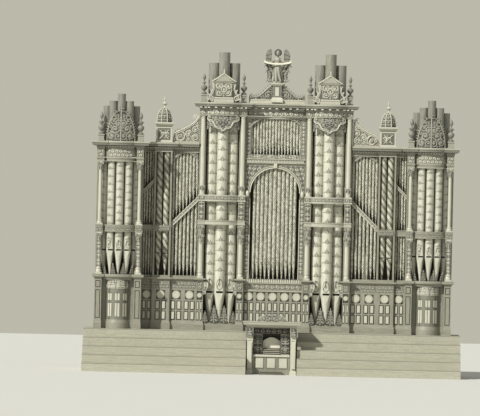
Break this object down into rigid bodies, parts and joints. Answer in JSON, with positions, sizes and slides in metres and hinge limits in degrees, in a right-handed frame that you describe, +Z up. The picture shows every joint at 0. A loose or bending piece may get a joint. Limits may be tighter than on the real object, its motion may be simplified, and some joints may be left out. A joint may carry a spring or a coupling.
{
  "type": "pipe organ",
  "caption": "Concert hall pipe organ: carved case with great towers, bowed side towers, arched centre, facade pipes, and a console on a stepped platform.",
  "frame": {"origin": "middle of the platform's footprint at the hall floor", "axes": "+X to the right seen from the front, +Y towards the back wall, +Z up"},
  "size_m": [16.6, 7.2, 14.355],
  "materials": {
    "case_wood": "satin",
    "carved_wood": "satin",
    "dark_wood": "matte",
    "floor_wood": "matte",
    "pipe_metal": "satin",
    "key_ivory": "gloss"
  },
  "bodies": {
    "root": {"organ_floor": "floor_wood", "tier_1": "floor_wood", "tier_2": "floor_wood", "tier_3": "floor_wood", "tier_4": "floor_wood", "platform_walls": "floor_wood", "platform_frames": "dark_wood", "case_sides": "case_wood", "case_back": "case_wood", "case_roof": "dark_wood", "case_posts": "case_wood", "base_plinth": "case_wood", "centre_panelling": "case_wood", "wing_panelling": "case_wood", "tower_bases": "case_wood", "great_piers": "case_wood", "impost_shelf": "carved_wood", "great_columns": "carved_wood", "great_rails": "carved_wood", "great_pipes": "pipe_metal", "pipe_shades": "carved_wood", "main_entablature": "case_wood", "pediments": "carved_wood", "urn_finials": "carved_wood", "arch_screen": "case_wood", "arch_pipes": "pipe_metal", "upper_pipes": "pipe_metal", "scroll_crest": "carved_wood", "winged_figure": "carved_wood", "wing_rails": "carved_wood", "wing_pipes": "pipe_metal", "lower_entablature": "case_wood", "turrets": "carved_wood", "scroll_brackets": "carved_wood", "side_columns": "carved_wood", "side_rails": "carved_wood", "side_pipes": "pipe_metal", "tower_crests": "carved_wood", "console_body": "case_wood", "console_posts": "carved_wood", "console_canopy": "carved_wood", "keyboards": "key_ivory", "music_desk": "carved_wood", "stop_jambs": "case_wood", "pedalboard": "dark_wood"}
  },
  "joints": []
}
